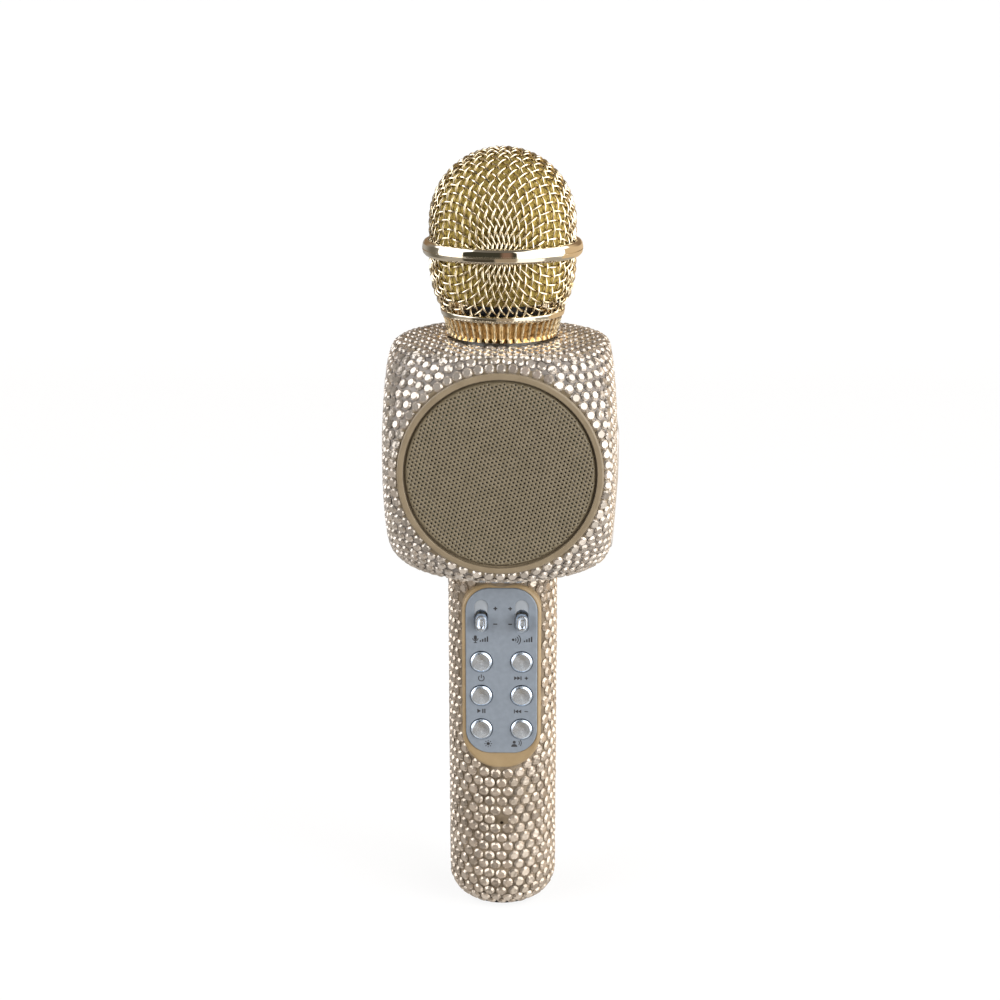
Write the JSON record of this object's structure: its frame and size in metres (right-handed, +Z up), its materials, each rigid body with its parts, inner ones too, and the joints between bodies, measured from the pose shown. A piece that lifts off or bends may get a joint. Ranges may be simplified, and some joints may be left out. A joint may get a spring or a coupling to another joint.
{
  "type": "handheld karaoke microphone",
  "caption": "Handheld karaoke microphone: ball basket head, rounded block loudspeaker housing, rhinestone-covered grip with push buttons and sliders.",
  "frame": {"origin": "centre of the handle's flat end face", "axes": "+Z up the handle towards the head, -Y the way the control panel and front grille face, +X towards the socket panel"},
  "size_m": [0.0742, 0.0724, 0.249],
  "materials": {
    "champagne_plastic": "satin, warm tan",
    "dark_plastic": "fine matt grain",
    "rhinestone": "foil-backed faceted stones on a beige sheet",
    "satin_blue_plate": "satin metallic",
    "champagne_grille": "satin paint, perforated",
    "gold_chrome": "polished pale gold",
    "silver_chrome": "polished with a turned sheen",
    "steel": "zinc plated",
    "circuit_board": "solder resist",
    "cell_wrap": "shrink wrap",
    "magnet": "ferrite with steel plates",
    "speaker_paper": "pulp cone",
    "surround_rubber": "soft rubber",
    "foam": "open-cell foam",
    "capsule_metal": "drawn can",
    "lead_rubber": "insulated lead",
    "light_lens": "milky lens"
  },
  "bodies": {
    "microphone_body": {"handle_tube": "champagne_plastic", "end_plate": "dark_plastic", "end_screw": "steel", "handle_rhinestones": "rhinestone", "panel_frame": "champagne_plastic", "control_plate": "satin_blue_plate", "control_board": "circuit_board", "panel_screws": "steel", "push_switches": "dark_plastic", "slide_switches": "steel", "battery_cell": "cell_wrap", "battery_holder": "dark_plastic", "battery_lead": "lead_rubber", "housing_front": "champagne_plastic", "housing_rear": "champagne_plastic", "housing_rhinestones": "rhinestone", "front_bezel": "champagne_plastic", "front_grille": "champagne_grille", "rear_bezel": "champagne_plastic", "rear_grille": "champagne_grille", "light_board": "circuit_board", "light_chips": "light_lens", "speaker_frame": "steel", "speaker_magnet": "magnet", "speaker_cone": "speaker_paper", "speaker_surround": "surround_rubber", "speaker_dust_cap": "speaker_paper", "radiator_frame": "steel", "radiator_surround": "surround_rubber", "radiator_disc": "speaker_paper", "driver_screws": "steel", "neck_ring": "capsule_metal", "capsule_mount": "dark_plastic", "mic_capsule": "capsule_metal", "mic_lead": "lead_rubber", "main_board": "circuit_board", "main_chips": "dark_plastic", "socket_panel": "champagne_plastic", "socket_board": "circuit_board", "audio_jack": "dark_plastic", "charge_socket": "steel", "usb_socket": "steel", "card_socket": "steel"},
    "power_button_cap": {"power_button": "silver_chrome"},
    "play_button_cap": {"play_button": "silver_chrome"},
    "light_button_cap": {"light_button": "silver_chrome"},
    "next_button_cap": {"next_button": "silver_chrome"},
    "previous_button_cap": {"previous_button": "silver_chrome"},
    "voice_button_cap": {"voice_button": "silver_chrome"},
    "volume_slider_knob": {"volume_slider": "silver_chrome"},
    "echo_slider_knob": {"echo_slider": "silver_chrome"},
    "windscreen": {"foam_windscreen": "foam"},
    "head_basket": {"collar": "gold_chrome", "lower_basket": "gold_chrome", "head_ring": "gold_chrome", "upper_basket": "gold_chrome"}
  },
  "joints": [
    {"name": "power_press", "type": "slide", "parent": "microphone_body", "child": "power_button_cap", "axis": [0, 1, 0], "range_m": [0, 0.0005], "stiffness_N_per_m": 900},
    {"name": "play_press", "type": "slide", "parent": "microphone_body", "child": "play_button_cap", "axis": [0, 1, 0], "range_m": [0, 0.0005], "stiffness_N_per_m": 900},
    {"name": "light_press", "type": "slide", "parent": "microphone_body", "child": "light_button_cap", "axis": [0, 1, 0], "range_m": [0, 0.0005], "stiffness_N_per_m": 900},
    {"name": "next_press", "type": "slide", "parent": "microphone_body", "child": "next_button_cap", "axis": [0, 1, 0], "range_m": [0, 0.0005], "stiffness_N_per_m": 900},
    {"name": "previous_press", "type": "slide", "parent": "microphone_body", "child": "previous_button_cap", "axis": [0, 1, 0], "range_m": [0, 0.0005], "stiffness_N_per_m": 900},
    {"name": "voice_press", "type": "slide", "parent": "microphone_body", "child": "voice_button_cap", "axis": [0, 1, 0], "range_m": [0, 0.0005], "stiffness_N_per_m": 900},
    {"name": "volume_slide", "type": "slide", "parent": "microphone_body", "child": "volume_slider_knob", "axis": [0, 0, 1], "range_m": [-0.0009, 0.0009], "stiffness_N_per_m": 500},
    {"name": "echo_slide", "type": "slide", "parent": "microphone_body", "child": "echo_slider_knob", "axis": [0, 0, 1], "range_m": [-0.0009, 0.0009], "stiffness_N_per_m": 500},
    {"name": "head_lift", "type": "slide", "parent": "microphone_body", "child": "windscreen", "axis": [0, 0, 1], "range_m": [0, 0.005]},
    {"name": "head_unscrew", "type": "hinge", "parent": "windscreen", "child": "head_basket", "pos_m": [0, 0, 0.1945], "axis": [0, 0, 1], "range_deg": [0, 1200]}
  ],
  "couplings": [
    {"joint": "head_lift", "follows": "head_unscrew", "m_per_rad": 0.0002387}
  ]
}
